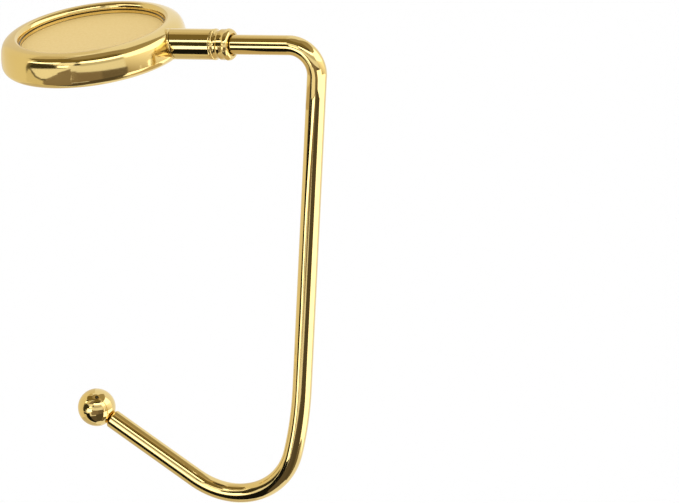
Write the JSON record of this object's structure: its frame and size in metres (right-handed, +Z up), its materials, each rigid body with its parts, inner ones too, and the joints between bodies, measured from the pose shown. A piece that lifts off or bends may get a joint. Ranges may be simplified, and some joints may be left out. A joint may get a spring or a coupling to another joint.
{
  "type": "purse hook",
  "caption": "Table hook for a bag: a round metal disc with a shallow recess lies on the table top, and a bent round rod that swivels in the disc's neck hangs below and ends in a ball.",
  "frame": {"origin": "centre of the rubber pad's flat underside, which rests on the table top", "axes": "+Z up out of the table top and out of the disc's recess, +X along the neck away from the disc, and the rest pose has the rod hanging down in the plane Y = 0"},
  "size_m": [0.0834, 0.045, 0.1238],
  "materials": {
    "polished_gold": "mirror-polished yellow gold plating",
    "spring_steel": "bare spring steel",
    "natural_nylon": "natural nylon, as moulded",
    "black_rubber": "matt black rubber",
    "white_adhesive": "white adhesive foam"
  },
  "bodies": {
    "base": {"disc_body": "polished_gold", "neck_tube": "polished_gold", "swivel_collar": "polished_gold", "tail_bush": "natural_nylon", "non_slip_pad": "black_rubber", "pad_adhesive": "white_adhesive"},
    "hook": {"hook_rod": "polished_gold", "ball_tip": "polished_gold", "retaining_ring": "spring_steel", "thrust_washer": "spring_steel"}
  },
  "joints": [
    {"name": "hook_swivel", "type": "hinge", "parent": "base", "child": "hook", "pos_m": [0, 0, 0.00458], "axis": [1, 0, 0], "continuous": true}
  ]
}
